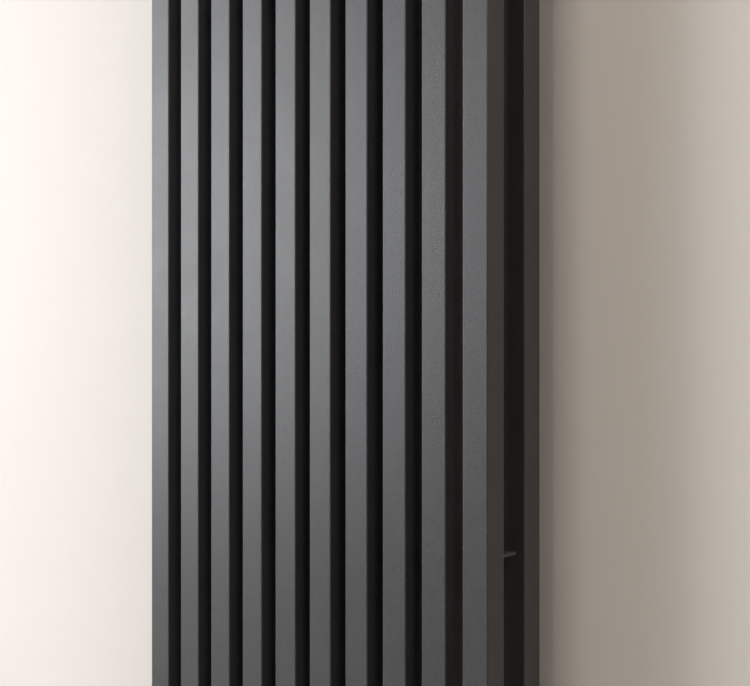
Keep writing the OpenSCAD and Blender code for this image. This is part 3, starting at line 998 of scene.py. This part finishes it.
class RADIATOR_OT_dial(bpy.types.Operator):
    """Print the numbers and ticks on the grip, and the pointer's mark on the skirt"""

    bl_idname = "radiator.dial"
    bl_label = "Dial Marks"

    def execute(self, context):
        sizes = context.scene.radiator_sizes
        low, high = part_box("head_grip")
        centre = Vector((HEAD_AXIS.x, 0.0, HEAD_AXIS.z))
        radius = (high.z - low.z) / 2
        band = high.y - NUMBER_INSET
        shape = bmesh.new()
        for number in range(6):
            turn = (3 - number) * NUMBER_STEP
            mesh = flat_number(str(number), sizes.numeral_height)
            first = len(shape.verts)
            shape.from_mesh(mesh)
            bpy.data.meshes.remove(mesh)
            shape.verts.ensure_lookup_table()
            for vert in shape.verts[first:]:
                vert.tag = True
                angle = turn - vert.co.x / radius
                out = radius + sizes.mark_relief
                along = band + vert.co.y - sizes.numeral_height / 2
                vert.co = centre + Vector((-out * math.sin(angle), along, out * math.cos(angle)))
        bmesh.ops.remove_doubles(shape, verts=shape.verts, dist=1e-6)
        faces = list(shape.faces)
        for face in faces:
            face.normal_update()
            spot = face.calc_center_median() - centre
            if face.normal.dot(Vector((spot.x, 0.0, spot.z))) < 0:
                face.normal_flip()
        solid = bmesh.ops.extrude_face_region(shape, geom=faces, use_keep_orig=True)
        for vert in (item for item in solid["geom"] if isinstance(item, bmesh.types.BMVert)):
            spot = Vector((vert.co.x - centre.x, 0.0, vert.co.z - centre.z))
            vert.co -= spot.normalized() * (sizes.mark_relief * 2)
        bmesh.ops.recalc_face_normals(shape, faces=shape.faces)
        mesh = bpy.data.meshes.new("dial_numbers")
        shape.to_mesh(mesh)
        shape.free()
        place_piece(link("dial_numbers", mesh), "dial_marks", "grip")
        ticks = grown(
            "dial_ticks",
            tree_named("Dial Ticks", dial_ticks_tree),
            {
                "Drum Radius": radius + sizes.mark_relief,
                "Tick Length": 0.0036,
                "Tick Width": 0.0008,
                "Relief": sizes.mark_relief,
                "Count": 5,
                "First Angle": NUMBER_STEP * -2.5,
                "Step Angle": NUMBER_STEP,
                "Centre": (centre.x, band, centre.z),
                "Material": finish("dial_marks"),
            },
        )
        place_piece(ticks, "dial_marks", "grip")
        pointer = grown(
            "pointer_mark",
            tree_named("Dial Ticks", dial_ticks_tree),
            {
                "Drum Radius": POINTER_RADIUS + sizes.mark_relief,
                "Tick Length": 0.003,
                "Tick Width": 0.001,
                "Relief": sizes.mark_relief,
                "Count": 1,
                "First Angle": 0.0,
                "Step Angle": NUMBER_STEP,
                "Centre": (centre.x, high.y + POINTER_GAP, centre.z),
                "Material": finish("dial_marks"),
            },
        )
        place_piece(pointer, "dial_marks", "radiator")
        return {"FINISHED"}


class RADIATOR_OT_lockshield_cap(bpy.types.Operator):
    """Make the fluted cap of the lockshield valve"""

    bl_idname = "radiator.lockshield_cap"
    bl_label = "Lockshield Cap"

    def execute(self, context):
        softened_copy("lockshield_cap", "fluted_cap", context.scene.radiator_sizes.plastic_bevel, 3, 25.0)
        return {"FINISHED"}


class RADIATOR_OT_top_plugs(bpy.types.Operator):
    """Make the bleed valve and the blanking plug"""

    bl_idname = "radiator.top_plugs"
    bl_label = "Bleed Valve and Plug"

    def execute(self, context):
        bevel = context.scene.radiator_sizes.fitting_bevel
        softened_copy("bleed_plug", "bleed_housing", bevel)
        softened_copy("bleed_screw", "bleed_needle_screw", bevel * 0.5)
        softened_copy("blanking_plug", "round_plug", bevel)
        return {"FINISHED"}


def follow_the_pin():
    """Stands a copy of the return spring, with its finish, in the CAD node's place."""
    mesh = NODES["return_spring"].data.copy()
    mesh.name = "valve_spring"
    mesh.materials.clear()
    spring = link("valve_spring", mesh)
    spring.matrix_world = NODES["return_spring"].matrix_world.copy()
    slot = slot_of("return_spring")
    spring.data.materials.append(finish(slot))
    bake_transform(spring)
    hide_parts("return_spring")


class RADIATOR_OT_inner_parts(bpy.types.Operator):
    """Give the working parts inside the valves their finishes"""

    bl_idname = "radiator.inner_parts"
    bl_label = "Working Parts"

    def execute(self, context):
        for name, part in NODES.items():
            material = finish(slot_of(name))
            for slot in part.material_slots:
                slot.material = material
            if not part.material_slots:
                part.data.materials.append(material)
        follow_the_pin()
        return {"FINISHED"}


# ---------- stage ----------


def backdrop(name, corners, material):
    """A flat sheet of the stage."""
    mesh = bpy.data.meshes.new(name)
    mesh.from_pydata(corners, [], [(0, 1, 2, 3)])
    sheet = link(name, mesh)
    sheet.data.materials.append(material)
    return sheet


def plaster(name, colour, one_sided):
    """Painted plaster with a faint roller texture, which may be clear from behind."""
    material, tree, shader = new_material(name)
    place = add(tree, "ShaderNodeTexCoord").outputs["Object"]
    patches = noise(tree, place, 3.0, 3.0, 0.5)
    dark, light = shades(colour, 0.985, 1.01)
    tree.links.new(mix(tree, patches, dark, light), shader.inputs["Base Color"])
    shader.inputs["Roughness"].default_value = 0.85
    bump(tree, shader, noise(tree, place, 420.0, 3.0, 0.6), 0.12, 0.0004)
    if one_sided:
        back = add(tree, "ShaderNodeNewGeometry").outputs["Backfacing"]
        back = calc(tree, "MAXIMUM", back, add(tree, "ShaderNodeLightPath").outputs["Is Shadow Ray"])
        clear = add(tree, "ShaderNodeBsdfTransparent")
        output = next(node for node in tree.nodes if node.type == "OUTPUT_MATERIAL")
        both = add(tree, "ShaderNodeMixShader", {0: back, 1: shader.outputs[0], 2: clear.outputs[0]})
        tree.links.new(both.outputs[0], output.inputs["Surface"])
    return material


def soft_light(name, turn, height, side, power, colour):
    """A square soft light, turned anticlockwise from straight in front, seen from above."""
    lamp = bpy.data.lights.new(name, "AREA")
    lamp.shape = "SQUARE"
    lamp.size = side
    lamp.energy = power
    lamp.color = colour
    holder = bpy.data.objects.new(name, lamp)
    bpy.context.scene.collection.objects.link(holder)
    angle = math.radians(turn)
    target = Vector((0.0, -0.1, 0.0))
    holder.location = target + Vector(
        (LIGHT_DISTANCE * math.sin(angle), -LIGHT_DISTANCE * math.cos(angle), height)
    )
    holder.rotation_euler = (target - holder.location).to_track_quat("-Z", "Y").to_euler()
    holder.visible_camera = False
    return holder


class RADIATOR_OT_stage(bpy.types.Operator):
    """Make the camera, the wall, the floor and the light"""

    bl_idname = "radiator.stage"
    bl_label = "Stage"

    def execute(self, context):
        scene = context.scene
        stage, colours = scene.radiator_stage, scene.radiator_colours
        lens = bpy.data.cameras.new("camera")
        lens.lens = 64.3
        lens.sensor_width = 36.0
        lens.clip_start = 0.01
        camera = bpy.data.objects.new("camera", lens)
        scene.collection.objects.link(camera)
        camera.location = (0.961, -1.2225, -0.088)
        camera.rotation_euler = (math.radians(90), 0.0, math.radians(38.18))
        scene.camera = camera
        floor = stage.floor_height
        backdrop(
            "wall",
            [(-4.0, 0.0, floor), (4.0, 0.0, floor), (4.0, 0.0, 2.2), (-4.0, 0.0, 2.2)],
            plaster("wall_paint", tuple(colours.wall), True),
        )
        backdrop(
            "floor",
            [(-4.0, -4.0, floor), (4.0, -4.0, floor), (4.0, 4.0, floor), (-4.0, 4.0, floor)],
            plaster("floor_paint", tuple(colours.floor), False),
        )
        cool, warm = tuple(stage.window_colour), tuple(stage.room_colour)
        soft_light("window", -55, 0.15, 1.0, stage.window_power, cool)
        soft_light("window_top", -55, 1.0, 1.0, stage.upper_power, cool)
        soft_light("window_low", -55, -0.35, 1.0, stage.lower_power, cool)
        soft_light("window_inner", -45, 0.5, 1.0, stage.inner_power, cool)
        soft_light("front", 0, 1.3, 1.0, stage.front_power, warm)
        soft_light("right", 58, 1.2, 0.8, stage.right_power, warm)
        soft_light("rear", 200, 1.0, 2.0, stage.rear_power, warm)
        world = bpy.data.worlds.new("room")
        world.use_nodes = True
        room = world.node_tree
        backing = room.nodes["Background"]
        backing.inputs["Color"].default_value = (1.0, 0.97, 0.94, 1.0)
        seen = add(room, "ShaderNodeLightPath").outputs["Is Camera Ray"]
        strength = spread(room, seen, 0.0, 1.0, stage.ambient, stage.backdrop)
        room.links.new(strength, backing.inputs["Strength"])
        scene.world = world
        scene.view_settings.view_transform = "Standard"
        return {"FINISHED"}


# ---------- panel and registration ----------

STEPS = (
    RADIATOR_OT_stage,
    RADIATOR_OT_front_bars,
    RADIATOR_OT_rear_bars,
    RADIATOR_OT_headers,
    RADIATOR_OT_welds,
    RADIATOR_OT_tie_bars,
    RADIATOR_OT_brackets,
    RADIATOR_OT_valve_fittings,
    RADIATOR_OT_thermostatic_head,
    RADIATOR_OT_dial,
    RADIATOR_OT_lockshield_cap,
    RADIATOR_OT_top_plugs,
    RADIATOR_OT_inner_parts,
)


class RADIATOR_PT_sidebar(bpy.types.Panel):
    """The radiator's sizes, colours and pieces"""

    bl_idname = "RADIATOR_PT_sidebar"
    bl_label = "Radiator"
    bl_space_type = "VIEW_3D"
    bl_region_type = "UI"
    bl_category = "Radiator"

    def draw(self, context):
        scene = context.scene
        for group in (scene.radiator_sizes, scene.radiator_colours, scene.radiator_stage):
            box = self.layout.box()
            for name in type(group).__annotations__:
                box.prop(group, name)
        for step in STEPS:
            self.layout.operator(step.bl_idname)


CLASSES = (RadiatorSizes, RadiatorColours, RadiatorStage, *STEPS, RADIATOR_PT_sidebar)


def register():
    for item in CLASSES:
        bpy.utils.register_class(item)
    bpy.types.Scene.radiator_sizes = bpy.props.PointerProperty(type=RadiatorSizes)
    bpy.types.Scene.radiator_colours = bpy.props.PointerProperty(type=RadiatorColours)
    bpy.types.Scene.radiator_stage = bpy.props.PointerProperty(type=RadiatorStage)


def unregister():
    del bpy.types.Scene.radiator_stage
    del bpy.types.Scene.radiator_colours
    del bpy.types.Scene.radiator_sizes
    for item in reversed(CLASSES):
        bpy.utils.unregister_class(item)


def main():
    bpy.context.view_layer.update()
    register()
    for step in STEPS:
        group, name = step.bl_idname.split(".")
        getattr(getattr(bpy.ops, group), name)()


if __name__ == "__main__":
    main()
